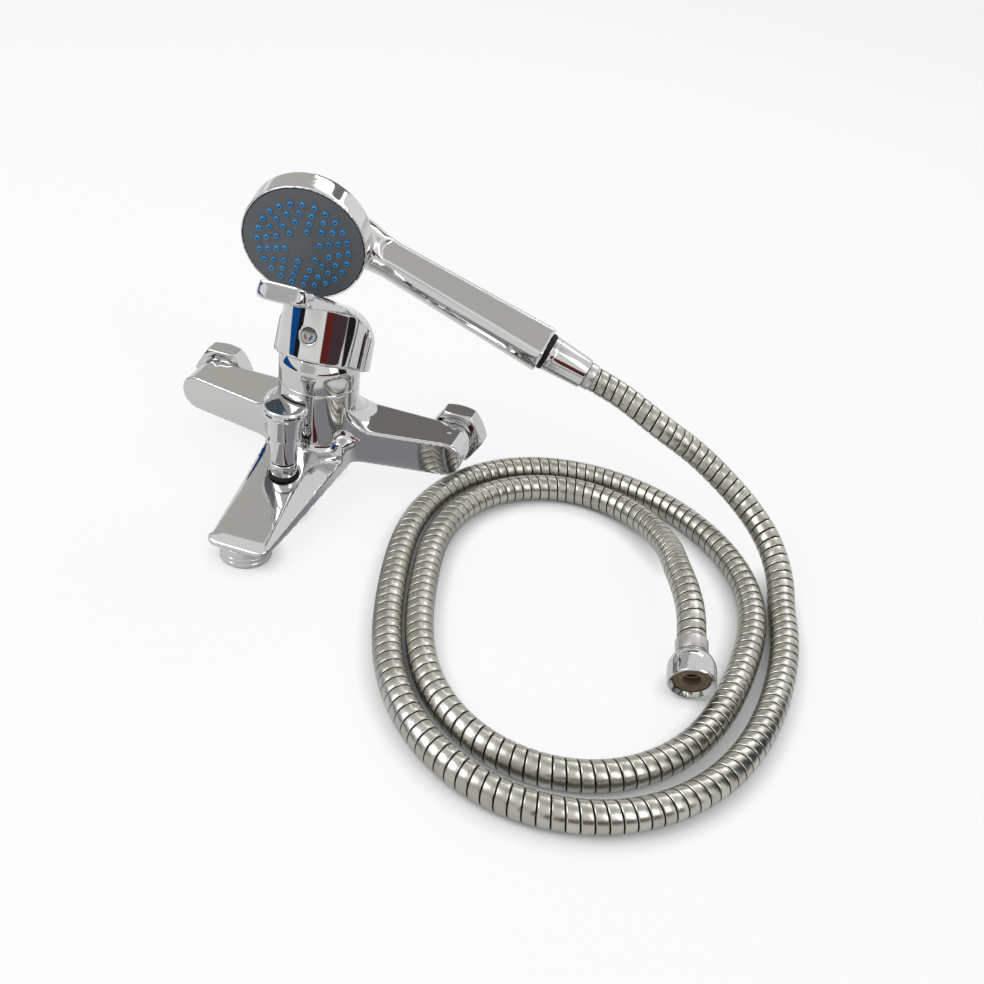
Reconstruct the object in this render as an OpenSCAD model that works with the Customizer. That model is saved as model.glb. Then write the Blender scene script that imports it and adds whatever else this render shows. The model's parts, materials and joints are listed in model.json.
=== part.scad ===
/* [Body] */
// Distance between the two inlet axes
inlet_pitch = 150; // [140:1:160]
// Height of the inlet axes above the standing surface
inlet_height = 28.5; // [26:0.5:34]
// Height of the bar between the inlets
bar_height = 20.6; // [18:0.2:24]
// Depth from the tower axis to the rear face of the bar
bar_rear = 24.5; // [22:0.5:28]
// Sweep of the front faces of the arms
arm_sweep = 11; // [6:0.5:14]
// Radius of the tower
tower_r = 22.7; // [22:0.1:25]
// Height of the top face of the tower
tower_top = 62; // [58:0.5:66]
// Radius of the flare where the tower meets the arms
arm_flare = 15; // [8:0.5:18]
// Radius of the flare where the tower meets the spout
spout_flare = 6; // [3:0.5:12]

/* [Spout] */
// Distance from the tower axis to the aerator axis
spout_reach = 90; // [80:1:130]
// Slope of the spout top
spout_slope = 9.5; // [3:0.5:11]
// Height of the spout top at the diverter axis
spout_top = 23.3; // [21:0.1:25]
// Half width of the spout at its tip
spout_tip_half = 17; // [15.5:0.5:20]
// Half width of the spout at its root
spout_root_half = 25; // [22:0.5:28]
// Fall of the two side bevels on the spout top
bevel_angle = 20; // [10:1:30]

/* [Aerator] */
// Outer radius of the aerator housing
aerator_r = 13.5; // [13:0.1:14.5]
// Height of the aerator housing below the spout
aerator_height = 10; // [7:0.5:11]
// Depth of the aerator bore in the spout
aerator_bore = 2.4; // [2:0.1:3]

/* [Inlets] */
// Width across the flats of the union nuts
nut_flats = 30; // [29:0.5:32]
// Length of the union nuts
nut_length = 13; // [11:0.5:16]
// Thread radius of the G3/4 union nuts
inlet_thread_r = 12.06; // [11.8:0.02:13.2]

/* [Outlet] */
// Thread radius of the G1/2 shower outlet
outlet_thread_r = 10.48; // [10.2:0.02:10.6]
// Length of the outlet thread
outlet_thread = 10; // [8:0.5:12]

/* [Lever] */
// Height of the lever pivot above the standing surface
pivot_height = 66; // [64:0.5:68]
// Angle the lever is raised from closed
lever_raised = 25; // [20:1:25]
// Radius of the lever core
core_r = 24.3; // [24:0.1:26]
// Radius of the hood behind the core
hood_r = 27.5; // [26.5:0.1:29]
// Height of the hood top above the pivot with the lever closed
hood_top = 38; // [36:0.5:40]
// Radius of the rounded hood top
hood_round = 22; // [16:0.5:24]
// Rise of the paddle towards its tip
paddle_rise = 4.5; // [3:0.5:7]
// Reach of the paddle tip from the tower axis
paddle_reach = 83; // [70:1:95]
// Half width of the paddle at its tip
paddle_half = 14; // [11:0.5:18]
// Thickness of the paddle
paddle_thick = 9.5; // [7:0.5:11]
// Radius of the hot and cold indicator plug
plug_r = 4.1; // [3.5:0.1:5]
// Gap between the dress cap and the lever
cap_gap = 0.5; // [0.4:0.1:1]

/* [Diverter] */
// Distance from the tower axis to the diverter axis
diverter_reach = 45; // [42:1:55]
// Radius of the diverter knob top
knob_r = 12.1; // [10:0.1:13]
// Height of the diverter knob top above the spout
knob_height = 44; // [40:0.5:50]
// Travel of the diverter knob
diverter_travel = 8; // [5:0.5:9]

/* [Hand shower] */
// Outer radius of the shower head
head_r = 34.9; // [34.5:0.1:35.4]
// Radius of the grey face plate
face_r = 33.3; // [32.8:0.1:33.5]
// Depth of the straight rim of the shower head
rim_depth = 16.5; // [15:0.5:18]
// Depth of the shower head at its domed back
head_depth = 27.5; // [26:0.5:29]
// Distance from the head centre to the end of the handle
handle_length = 147.5; // [145:0.5:150]
// Radius of the handle at its end
handle_end_r = 13.5; // [12:0.1:15]
// Radius of the handle at its neck
handle_neck_r = 10.2; // [9:0.2:11]
// Radius of the round neck behind the shower head
neck_r = 14; // [13:0.2:16]
// Radius of one nozzle
nozzle_r = 1.25; // [1:0.05:1.4]
// Distance between two rings of nozzles
nozzle_pitch = 5; // [4.8:0.1:5.2]

/* [Hose] */
// Outer diameter of the hose sheath
hose_d = 14.6; // [13:0.2:15]
// Inner diameter of the hose sheath
hose_bore = 10.6; // [10:0.2:11]
// Depth of the groove between two ribs
rib_depth = 0.7; // [0.3:0.1:1]
// Radius of the hose end nut
end_nut_r = 12; // [11:0.2:13]
// Length of the hose end nut
end_nut_length = 17; // [14:0.5:20]

/* [Fits] */
// Running clearance between moving pieces
running = 0.05; // [0.02:0.01:0.1]
// Clearance between still pieces
still = 0.3; // [0.2:0.05:0.4]

/* [Hidden] */
$fn = 64;
half_pitch = inlet_pitch / 2;
bar_r = bar_height / 2;
bar_top = inlet_height + bar_r;
bar_bottom = inlet_height - bar_r;
hub_bottom = inlet_height - 15.5;
tip_bottom = aerator_height;
tip_front = spout_reach + aerator_r;
bore_r = 18;
seat = pivot_height - 27;
disc_seat = seat + 4;
carrier_seat = seat + 12;
nut_seat = seat + 18;
nut_height = 10;
cap_r = tower_r + 1.5;
cap_top = pivot_height + 14;
nut_front = bar_rear + 2;
core_lean = 7;
core_back = -2.1;
rim_y = -6;
plug_z = 19;
plug_y = core_back - core_r / cos(core_lean) - plug_z * tan(core_lean);
screw_y = -4 / cos(core_lean) - (plug_z + 2.5) * tan(core_lean) - running;
core_bottom = 5;
ball_drop = 14.6;
hood_shift = 5;
bush_top = spout_top + 8.5;
knob_top = spout_top + knob_height;
head_place = [-23.6, 44.3, pivot_height + 69];
head_turn = [7.3, 19.5, 2.4];
head_tilt = 9.5;
nozzle_turn = 33;
head_drop = 30.15;
ring_start = handle_length;
cone_start = handle_length + 2.5;
cone_length = 24.3;
hose_start = cone_start + cone_length + 5;
hose_r = hose_d / 2;
bore_half = hose_bore / 2;
tube_r = bore_half - 0.3;
sides = 8;
coil_centre = [186, -60];
coil_first = -20;
coil_last = 604;
coil_rings = 208;
lead_points = [[188.8, 48.5, 57.5], [215, 49.5, 44], [244, 40.5, 28.5], [263.5, 23.5, 18], [274.2, 0, 10.5]];
tail_points = [[161, 36.2, 7.5], [181.6, 29.6, 8.5], [198.8, 15.9, 10.7], [211.5, -4.4, 14.9], [218, -26, 20], [225.6, -46, 21.6]];
end_face = [239, -104.5, 12.6];
end_turn = [12, 0, 11];

function spout_z(y) = spout_top + (y + diverter_reach) * tan(spout_slope);
function turn_x(v, a) = [v[0], v[1] * cos(a) - v[2] * sin(a), v[1] * sin(a) + v[2] * cos(a)];
function turn_y(v, a) = [v[0] * cos(a) + v[2] * sin(a), v[1], v[2] * cos(a) - v[0] * sin(a)];
function turn_z(v, a) = [v[0] * cos(a) - v[1] * sin(a), v[0] * sin(a) + v[1] * cos(a), v[2]];
function turned(v, t) = turn_z(turn_y(turn_x(v, t[0]), t[1]), t[2]);
function handset_point(v) = head_place + turned(v, head_turn);
function end_point(v) = end_face + turned(v, end_turn);
function unit(v) = v / norm(v);
function span_point(p, q, r, s, t) = 0.5 * (2 * q + (r - p) * t + (2 * p - 5 * q + 4 * r - s) * t * t
  + (3 * q - p - 3 * r + s) * t * t * t);
function route(points, steps) = [for (i = [1 : len(points) - 3]) for (k = [0 : steps - 1])
  span_point(points[i - 1], points[i], points[i + 1], points[i + 2], k / steps), points[len(points) - 2]];
function coil_r(t) = 121.5 - 13.5 * cos(t) + 5 * sin(t) - 14.5 * cos(2 * t) + 6 * sin(2 * t) + 2 * cos(3 * t)
  - 4.5 * sin(3 * t) - (t / 360) * (18.5 + cos(t) + 1.5 * sin(t) - 1.5 * cos(2 * t) + 2 * sin(2 * t));
function coil_point(t) = [coil_centre[0] + coil_r(t) * cos(t), coil_centre[1] - coil_r(t) * sin(t), hose_r];
function coil_way(t) = unit(coil_point(t + 0.5) - coil_point(t - 0.5));
function coil_angle(i) = coil_first + (coil_last - coil_first) * i / coil_rings;
function straight(a, b, n) = [for (k = [0 : n - 1]) a + (b - a) * k / n];
function ways(points, first, last) = [for (i = [0 : len(points) - 1]) i == 0 ? first : i == len(points) - 1 ? last
  : unit(points[i + 1] - points[i - 1])];
function around(p, way, r) = let(side = unit(cross(way, [0, 0, 1])), up = cross(side, way))
  [for (k = [0 : sides - 1]) p + r * cos((k + 0.5) * 360 / sides) * side + r * sin((k + 0.5) * 360 / sides) * up];
function picked(list, every) = [for (i = [0 : every : len(list) - 1]) list[i]];
function skin(start, rings, flip) = [for (i = [0 : rings - 2]) for (k = [0 : sides - 1])
  let(a = start + i * sides + k, b = start + i * sides + (k + 1) % sides, c = b + sides, d = a + sides)
  for (face = flip ? [[a, b, c], [a, c, d]] : [[a, c, b], [a, d, c]]) face];
function rim(a, b, flip) = [for (k = [0 : sides - 1]) let(n = (k + 1) % sides)
  for (face = flip ? [[a + k, b + n, b + k], [a + k, a + n, b + n]] : [[a + k, b + k, b + n], [a + k, b + n, a + n]]) face];

hand_way = turned([1, 0, 0], head_turn);
end_way = turned([0, -1, 0], end_turn);
lead_start = handset_point([hose_start, 0, 0]);
lead_bend = handset_point([hose_start + hose_d, 0, 0]);
tail_bend = end_point([0, end_nut_length + 8 + hose_d, 0]);
tail_stop = end_point([0, end_nut_length + 8, 0]);
lead_route = concat(straight(lead_start, lead_bend, 4), route(concat([lead_points[0] - 60 * hand_way, lead_bend], lead_points,
  [coil_point(coil_first), lead_points[4] + 60 * coil_way(coil_first)]), 6));
coil_route = [for (i = [0 : coil_rings]) coil_point(coil_angle(i))];
tail_route = concat(route(concat([tail_points[0] - 40 * coil_way(coil_last), coil_point(coil_last)], tail_points,
  [tail_bend, tail_points[5] + 40 * end_way]), 4), straight(tail_bend + (tail_stop - tail_bend) / 4, tail_stop, 3), [tail_stop]);
lead_ways = ways(lead_route, hand_way, coil_way(coil_first));
coil_ways = ways(coil_route, coil_way(coil_first), coil_way(coil_last));
tail_ways = ways(tail_route, coil_way(coil_last), end_way);
whole = concat(lead_route, coil_route, tail_route);
thinned = picked(whole, 3);
least_gap = min([for (i = [0 : len(thinned) - 13]) for (j = [i + 12 : len(thinned) - 1]) norm(thinned[i] - thinned[j])]) - hose_d;
echo(least_hose_gap = least_gap, rings = [len(lead_route), len(coil_route), len(tail_route)]);

module swing() {
  translate([0, 0, pivot_height])
    rotate([-lever_raised, 0, 0])
      children();
}
module handset_place() {
  translate(head_place)
    rotate(head_turn)
      children();
}
module along_x(x) {
  translate([x, 0, 0])
    rotate([0, 90, 0])
      children();
}
module along_y(x, y, z) {
  translate([x, y, z])
    rotate([-90, 0, 0])
      children();
}
module ring(outer, inner, height) {
  difference() {
    cylinder(h = height, r = outer);
    translate([0, 0, -1])
      cylinder(h = height + 2, r = inner);
  }
}
module bar_plan() {
  edge = half_pitch + 5;
  fall = tan(arm_sweep);
  polygon([[-100, bar_rear], [100, bar_rear], [100, 0.5 + (100 - edge) * fall], [0, 0.5 - edge * fall],
    [-100, 0.5 + (100 - edge) * fall]]);
}
module spout_plan() {
  r = 6;
  polygon([[-spout_root_half, 0], [spout_root_half, 0], [spout_tip_half, r - tip_front], [-spout_tip_half, r - tip_front]]);
  translate([r - spout_tip_half, -tip_front])
    square([2 * (spout_tip_half - r), 20]);
  for (s = [-1, 1])
    translate([s * (spout_tip_half - r), r - tip_front])
      circle(r);
}
module corner_plan() {
  r = 10;
  x = spout_root_half + r - 1;
  y = 0.5 - r / cos(arm_sweep) - (half_pitch + 5 - x) * tan(arm_sweep);
  difference() {
    polygon([[x - r - 6, y], [x, y], [x - r * sin(arm_sweep), y + r * cos(arm_sweep)], [x - r * sin(arm_sweep), y + r + 4],
      [x - r - 6, y + r + 4]]);
    translate([x, y])
      circle(r);
  }
}
module spout_side() {
  front = tip_front - 6.5;
  polygon([[0, bar_bottom - 4], [-76, tip_bottom], [-tip_front, tip_bottom], [-tip_front, tip_bottom + 2.5],
    [-front, spout_z(-front)], [0, spout_z(0)]]);
}
module bevel_cut() {
  front = tip_front - 6.5;
  translate([spout_tip_half - 2.5, -front, spout_z(-front)])
    rotate([0, 0, 5])
      rotate([spout_slope, 0, 0])
        rotate([0, bevel_angle, 0])
          translate([0, -40, 0])
            cube([60, 135, 30]);
}
module flare(radius, height) {
  rotate_extrude($fn = 96)
    difference() {
      translate([tower_r - 1.5, height - 1])
        square([radius + 1.5, radius + 1]);
      translate([tower_r + radius, height + radius])
        circle(radius, $fn = 96);
    }
}
module spout() {
  difference() {
    intersection() {
      linear_extrude(60)
        spout_plan();
      rotate([90, 0, 90])
        translate([0, 0, -40])
          linear_extrude(80)
            spout_side();
    }
    bevel_cut();
    mirror([1, 0, 0])
      bevel_cut();
  }
  translate([0, -diverter_reach, 2.5])
    cylinder(h = 12, r = 10.5);
}
module bar() {
  intersection() {
    along_y(0, -40, inlet_height)
      linear_extrude(40 + bar_rear) {
        square([inlet_pitch + 3, bar_height], center = true);
        for (s = [-1, 1])
          translate([s * (half_pitch + 1.5), 0])
            circle(bar_r);
      }
    linear_extrude(60)
      bar_plan();
  }
  for (s = [0, 1])
    mirror([s, 0, 0])
      translate([0, 0, bar_bottom])
        linear_extrude(bar_height - 6)
          corner_plan();
}
module mixer_body() {
  color("silver")
    difference() {
      union() {
        bar();
        spout();
        translate([0, 0, hub_bottom + 3])
          cylinder(h = tower_top - hub_bottom - 3, r = tower_r, $fn = 96);
        translate([0, 0, hub_bottom])
          cylinder(h = 5, r = 15);
        intersection() {
          flare(arm_flare, bar_top);
          linear_extrude(80)
            bar_plan();
        }
        intersection() {
          flare(spout_flare, spout_z(-tower_r - spout_flare) - 0.8);
          linear_extrude(80)
            spout_plan();
        }
      }
      translate([0, 0, seat])
        cylinder(h = 60, r = bore_r);
      translate([0, 0, nut_seat - 1])
        cylinder(h = 60, r = bore_r + 2.2);
      for (s = [-1, 1]) {
        translate([s * 8, 6, inlet_height])
          cylinder(h = seat - inlet_height + 1, r = 4);
        translate([s * 8, 6, inlet_height])
          rotate([0, s * 90, 0])
            cylinder(h = half_pitch - 8, r = 4);
        along_y(s * half_pitch, 2.5 + 4, inlet_height)
          cylinder(h = 60, r = 7);
        along_y(s * half_pitch, 13, inlet_height)
          cylinder(h = 60, r = 9.6 + still);
      }
      translate([0, -9, 17])
        cylinder(h = seat - 16, r = 4);
      translate([0, -9, 17.5])
        rotate([90 + 4.3, 0, 0])
          cylinder(h = spout_reach - 9, r = 3.1);
      translate([0, 0, hub_bottom - 1])
        cylinder(h = 9, r = 9 + still);
      translate([0, -5, hub_bottom + 4])
        cylinder(h = 6, r = 4);
      translate([0, -diverter_reach, 4.5])
        cylinder(h = 12.5, r = 8);
      translate([0, -diverter_reach, 4.5])
        cylinder(h = 40, r = 5.6 + still);
      translate([0, -diverter_reach, spout_top - 0.6])
        cylinder(h = 40, r = 8.5);
      translate([0, -spout_reach, -1])
        cylinder(h = aerator_height + aerator_bore + 1, r = aerator_r - 1.3);
    }
}
module inlet_tail(s) {
  color("silver")
    along_y(s * half_pitch, 0, inlet_height)
      difference() {
        union() {
          translate([0, 0, 13])
            cylinder(h = nut_front + 5 - 13, r = 9.6);
          translate([0, 0, bar_rear])
            cylinder(h = 1.7, r = 12.6);
          translate([0, 0, nut_front + 3.6])
            cylinder(h = 2, r = 11.6);
        }
        cylinder(h = 60, r = 7);
      }
}
module inlet_tail_left() {
  inlet_tail(-1);
}
module inlet_tail_right() {
  inlet_tail(1);
}
module union_nut(s) {
  corner = nut_flats / 2 / cos(30);
  color("silver")
    along_y(s * half_pitch, nut_front, inlet_height)
      difference() {
        intersection() {
          cylinder(h = nut_length, r = corner, $fn = 6);
          rotate_extrude()
            polygon([[0, 0], [nut_flats / 2, 0], [corner, 1.6], [corner, nut_length - 2.6], [nut_flats / 2 - 0.6, nut_length],
              [0, nut_length]]);
        }
        translate([0, 0, 3.4])
          cylinder(h = 3.7, r = inlet_thread_r + 0.4);
        translate([0, 0, 3.4])
          cylinder(h = nut_length, r = inlet_thread_r);
        translate([0, 0, -1])
          cylinder(h = nut_length, r = 9.6 + running);
      }
}
module union_nut_left() {
  union_nut(-1);
}
module union_nut_right() {
  union_nut(1);
}
module inlet_washer(s) {
  color("dimgray")
    along_y(s * half_pitch, nut_front + 5.6, inlet_height)
      ring(11.6, 7.5, 1.5);
}
module inlet_washer_left() {
  inlet_washer(-1);
}
module inlet_washer_right() {
  inlet_washer(1);
}
module dress_cap() {
  color("silver")
    difference() {
      intersection() {
        translate([0, 0, tower_top])
          cylinder(h = cap_top - tower_top, r = tower_r, $fn = 96);
        translate([0, 0, pivot_height])
          sphere(cap_r, $fn = 96);
      }
      translate([0, 0, tower_top - 1])
        cylinder(h = pivot_height + 7 - tower_top, r = bore_r + 2.5);
      cylinder(h = 2 * cap_top, r = 14.6);
    }
}
module cartridge_nut() {
  color("goldenrod")
    translate([0, 0, nut_seat])
      ring(bore_r + 1.9, 14 + still, nut_height);
}
module cartridge_housing() {
  color("white")
    difference() {
      union() {
        translate([0, 0, disc_seat])
          cylinder(h = nut_seat - disc_seat, r = bore_r - still);
        translate([0, 0, disc_seat])
          cylinder(h = nut_seat - disc_seat + nut_height, r = 14);
      }
      translate([0, 0, disc_seat - 1])
        cylinder(h = 13, r = 15.6);
      cylinder(h = 2 * pivot_height, r = 11.8);
    }
}
module ports(radius) {
  for (s = [-1, 1])
    translate([s * 8, 6, 0])
      cylinder(h = 2 * pivot_height, r = radius);
  translate([0, -9, 0])
    cylinder(h = 2 * pivot_height, r = radius);
}
module cartridge_base() {
  color("white")
    difference() {
      translate([0, 0, seat + 0.6])
        cylinder(h = disc_seat - seat - 0.6, r = bore_r - still);
      ports(4);
    }
}
module cartridge_seal() {
  color("dimgray")
    difference() {
      translate([0, 0, seat])
        cylinder(h = 0.6, r = bore_r - 0.6);
      ports(4.4);
    }
}
module fixed_disc() {
  color("ivory")
    difference() {
      translate([0, 0, disc_seat])
        cylinder(h = 3.2, r = 15.2);
      ports(3.6);
    }
}
module moving_disc() {
  color("ivory")
    translate([0, -ball_drop * sin(lever_raised - core_lean), 0])
      difference() {
        translate([0, 0, disc_seat + 3.2 + running])
          cylinder(h = 4.4, r = 10.4);
        translate([0, 0, disc_seat + 4.4])
          cylinder(h = 10, r = 4.2);
      }
}
module swivel_carrier() {
  color("whitesmoke")
    difference() {
      union() {
        translate([0, 0, carrier_seat])
          cylinder(h = 3.7, r = 15.2);
        translate([0, 0, carrier_seat])
          cylinder(h = 20, r = 11.8 - running);
      }
      translate([-4.4, -9.6, seat + 1])
        cube([8.8, 19.2, 60]);
      along_x(-20)
        translate([-pivot_height, 0, 0])
          cylinder(h = 40, r = 2 + running);
    }
}
module pivot_pin() {
  color("lightgray")
    along_x(-11)
      translate([-pivot_height, 0, 0])
        cylinder(h = 22, r = 2);
}
module lever_spindle() {
  color("goldenrod")
    swing()
      rotate([core_lean, 0, 0])
        difference() {
          union() {
            translate([-4, -4, -12])
              cube([8, 8, 45]);
            translate([0, 0, -ball_drop])
              sphere(3.6);
            translate([0, 0, -ball_drop])
              cylinder(h = 8, r = 2.8);
          }
          along_x(-20)
            cylinder(h = 40, r = 2 + running);
        }
}
module hood_half() {
  square([hood_r + 1, hood_top - hood_round]);
  square([hood_r + 1 - hood_round, hood_top]);
  intersection() {
    translate([hood_r + 1 - hood_round, hood_top - hood_round])
      circle(hood_round, $fn = 96);
    square(2 * hood_top);
  }
}
module hood_top_form() {
  rotate_extrude($fn = 96)
    hood_half();
  rotate([90, 0, 0])
    linear_extrude(paddle_reach + 1) {
      hood_half();
      mirror([1, 0])
        hood_half();
    }
}
module paddle_plan() {
  r = 6;
  polygon([[-19, 2], [19, 2], [paddle_half, r - paddle_reach], [-paddle_half, r - paddle_reach]]);
  translate([r - paddle_half, -paddle_reach])
    square([2 * (paddle_half - r), 20]);
  for (s = [-1, 1])
    translate([s * (paddle_half - r), r - paddle_reach])
      circle(r);
}
module front_cut() {
  r = 11;
  under = hood_top + paddle_reach * sin(paddle_rise) - paddle_thick;
  rotate([90, 0, 90])
    translate([0, 0, -40])
      linear_extrude(80) {
        translate([-120, -40])
          square([120 + rim_y, 40 + under - r]);
        translate([-120, -40])
          square([120 + rim_y - r, 40 + under]);
        translate([rim_y - r, under - r])
          circle(r);
      }
}
module leaned(y, radius) {
  translate([0, y, 0])
    rotate([core_lean, 0, 0])
      translate([0, 0, -20])
        cylinder(h = 80, r = radius, $fn = 96);
}
module lever_form() {
  intersection() {
    union() {
      leaned(core_back, core_r);
      difference() {
        union() {
          leaned(0, hood_r);
          rotate([-paddle_rise, 0, 0])
            linear_extrude(hood_top)
              paddle_plan();
        }
        front_cut();
      }
    }
    rotate([-paddle_rise, 0, 0])
      translate([0, -hood_shift, 0])
        hood_top_form();
    translate([-60, -140, core_bottom])
      cube([120, 200, 120]);
  }
}
module lever_handle() {
  color("silver")
    swing() {
      difference() {
        lever_form();
        sphere(cap_r + cap_gap, $fn = 96);
        rotate([core_lean, 0, 0])
          translate([-4.3, -4.3, 0])
            cube([8.6, 8.6, 34]);
        translate([0, plug_y + 5, plug_z])
          rotate([90, 0, 0])
            cylinder(h = 20, r = plug_r + still);
        translate([0, -3, plug_z])
          rotate([90, 0, 0])
            cylinder(h = 30, r = 2.5 + still);
      }
      difference() {
        rotate([core_lean, 0, 0])
          translate([0, 0, 15.5])
            cylinder(h = 10.5, r = 8);
        rotate([core_lean, 0, 0])
          translate([-4.3, -4.3, 0])
            cube([8.6, 8.6, 34]);
        translate([0, -3, plug_z])
          rotate([90, 0, 0])
            cylinder(h = 30, r = 2.5 + still);
      }
    }
}
module grub_screw() {
  color("gray")
    swing()
      translate([0, screw_y, plug_z])
        rotate([90, 0, 0])
          difference() {
            cylinder(h = 9, r = 2.5);
            translate([0, 0, 6])
              cylinder(h = 4, r = 1.44, $fn = 6);
          }
}
module indicator_plug() {
  color("crimson")
    swing()
      translate([0, plug_y + 5, plug_z])
        rotate([90, 0, 0])
          cylinder(h = 4.7, r = plug_r);
}
module diverter_place() {
  translate([0, -diverter_reach, 0])
    children();
}
module knob_half(base) {
  band = 3;
  polygon([[0, base], [7.3, base], [7.3, base + 14.5], [8, base + 15.3], [knob_r - 2.2, knob_top - 6.2],
    [knob_r - 2.2, knob_top - band], [0, knob_top - band]]);
  translate([knob_r - band, knob_top - band])
    circle(band);
  translate([0, knob_top - band - 1])
    square([knob_r - band, band + 1]);
}
module diverter_knob() {
  base = bush_top + 1;
  color("silver")
    diverter_place()
      difference() {
        rotate_extrude()
          knob_half(base);
        translate([0, 0, base - 1])
          cylinder(h = 21, r = 2.5 + still);
      }
}
module diverter_stem() {
  color("goldenrod")
    diverter_place()
      translate([0, 0, 5.4])
        cylinder(h = bush_top + 21 - 5.4, r = 2.5);
}
module diverter_bush() {
  color("silver")
    diverter_place()
      difference() {
        union() {
          translate([0, 0, spout_top + 1.2])
            cylinder(h = bush_top - spout_top - 1.2, r = 7.3);
          translate([0, 0, 17])
            cylinder(h = 10, r = 5.6);
        }
        cylinder(h = 60, r = 2.5 + running);
      }
}
module diverter_seal() {
  color("black")
    diverter_place()
      translate([0, 0, spout_top - 0.6])
        ring(8.2, 5.6 + still, 1.8);
}
module diverter_valve() {
  color("black")
    diverter_place()
      translate([0, 0, 5.6])
        ring(6.6, 2.5 + still, 2);
}
module aerator_place() {
  translate([0, -spout_reach, 0])
    children();
}
module aerator_housing() {
  color("silver")
    aerator_place()
      difference() {
        union() {
          cylinder(h = aerator_height, r = aerator_r);
          cylinder(h = aerator_height + aerator_bore - 0.8, r = aerator_r - 1.6);
        }
        translate([0, 0, -1])
          cylinder(h = 20, r = aerator_r - 3.1);
        translate([0, 0, 2])
          cylinder(h = 20, r = aerator_r - 2.5);
      }
}
module aerator_insert() {
  color("whitesmoke")
    aerator_place()
      difference() {
        translate([0, 0, 2])
          cylinder(h = aerator_height - 1.5, r = aerator_r - 2.5 - still);
        for (a = [0 : 60 : 300])
          rotate([0, 0, a])
            translate([5.6, 0, 0])
              cylinder(h = 20, r = 2.2, $fn = 24);
        cylinder(h = 20, r = 2.2, $fn = 24);
      }
}
module aerator_washer() {
  color("black")
    aerator_place()
      translate([0, 0, aerator_height + aerator_bore - 0.8])
        ring(aerator_r - 1.9, aerator_r - 4.5, 0.8);
}
module outlet_nipple() {
  color("goldenrod")
    difference() {
      union() {
        translate([0, 0, hub_bottom - 3 - outlet_thread])
          cylinder(h = outlet_thread, r = outlet_thread_r);
        translate([0, 0, hub_bottom - 3])
          cylinder(h = 3, r = 13.8, $fn = 6);
        translate([0, 0, hub_bottom - 3 - outlet_thread])
          cylinder(h = outlet_thread + 10, r = 9);
      }
      translate([0, 0, hub_bottom - 4 - outlet_thread])
        cylinder(h = 60, r = 6.5);
    }
}
module head_axis() {
  handset_place()
    translate([head_drop * sin(head_tilt), -head_drop * cos(head_tilt), 0])
      rotate([90, 0, head_tilt])
        children();
}
module handle_axis(x) {
  handset_place()
    translate([x, 0, 0])
      rotate([0, 90, 0])
        children();
}
module nozzles(radius, bottom, rise) {
  for (k = [0 : 3])
    for (i = [0 : 6 * (k + 1) - 1])
      rotate([0, 0, i * 60 / (k + 1) + nozzle_turn])
        translate([nozzle_pitch * (k + 2), 0, bottom])
          cylinder(h = rise - bottom - pow(nozzle_pitch * (k + 2), 2) / 640, r = radius, $fn = 16);
}
module neck_half() {
  centre = 26;
  sweep = 80;
  thin = handle_neck_r + 0.2;
  far = centre + sqrt(pow(neck_r + sweep, 2) - pow(thin + sweep, 2));
  near = centre + neck_r * (far - centre) / (neck_r + sweep);
  intersection() {
    translate([0, centre])
      circle(neck_r, $fn = 96);
    translate([0, centre - neck_r - 1])
      square([neck_r + 1, 2 * neck_r + 2]);
  }
  difference() {
    translate([0, near - 2])
      square([neck_r * (thin + sweep) / (neck_r + sweep), far - near + 2]);
    translate([thin + sweep, far])
      circle(sweep - 0.3, $fn = 256);
  }
}
module head_half() {
  bulge = (head_r * head_r + pow(head_depth - rim_depth, 2)) / (2 * (head_depth - rim_depth));
  translate([0, 1 - rim_depth])
    square([head_r, rim_depth - 1]);
  intersection() {
    translate([0, bulge - head_depth])
      circle(bulge, $fn = 256);
    translate([0, -head_depth])
      square([head_r, head_depth]);
  }
}
module handset_shell() {
  color("silver")
    difference() {
      union() {
        head_axis()
          rotate_extrude($fn = 96)
            head_half();
        handle_axis(22)
          cylinder(h = handle_length - 22, r1 = handle_neck_r, r2 = handle_end_r);
        handle_axis(0)
          rotate_extrude($fn = 64)
            neck_half();
        handle_axis(handle_length)
          cylinder(h = 7.5, r = 8.2);
      }
      head_axis()
        translate([0, 0, -3])
          cylinder(h = 20, r = face_r + still, $fn = 96);
      head_axis()
        translate([0, 0, -rim_depth - 2])
          cylinder(h = rim_depth, r = 28);
      handle_axis(16)
        cylinder(h = handle_length + 20, r = 5);
      handset_place()
        rotate([25, 0, 0])
          translate([48, 0, handle_neck_r - 1.8])
            rotate([0, -1, 0])
              linear_extrude(20) {
                translate([0, -20])
                  square([handle_length - 47.5, 40]);
                circle(8);
              }
    }
}
module face_plate() {
  color("dimgray")
    head_axis()
      difference() {
        rotate_extrude($fn = 96)
          polygon(concat([[0, -3], [face_r, -3]], [for (k = [0 : 6]) [face_r * (1 - k / 6), 1.2 - pow(face_r * (1 - k / 6), 2) / 640]]));
        nozzles(nozzle_r + still, -4, 8);
      }
}
module nozzle_mat() {
  color("steelblue")
    head_axis()
      difference() {
        union() {
          translate([0, 0, -4.4])
            cylinder(h = 1.4, r = 27.6);
          nozzles(nozzle_r, -3.6, 2.2);
        }
        nozzles(0.5, -6, 10);
      }
}
module water_guide() {
  color("white")
    head_axis()
      difference() {
        translate([0, 0, -6.4])
          cylinder(h = 2, r = 27.6);
        for (a = [0 : 45 : 315])
          rotate([0, 0, a])
            translate([16, 0, -10])
              cylinder(h = 10, r = 3.5);
      }
}
module handset_ring() {
  color("black")
    handle_axis(ring_start)
      ring(10.8, 8.2 + still, 2.5);
}
module handset_washer() {
  color("dimgray")
    handle_axis(handle_length + 7.5)
      ring(8.2, 5.6, 1.5);
}
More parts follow.
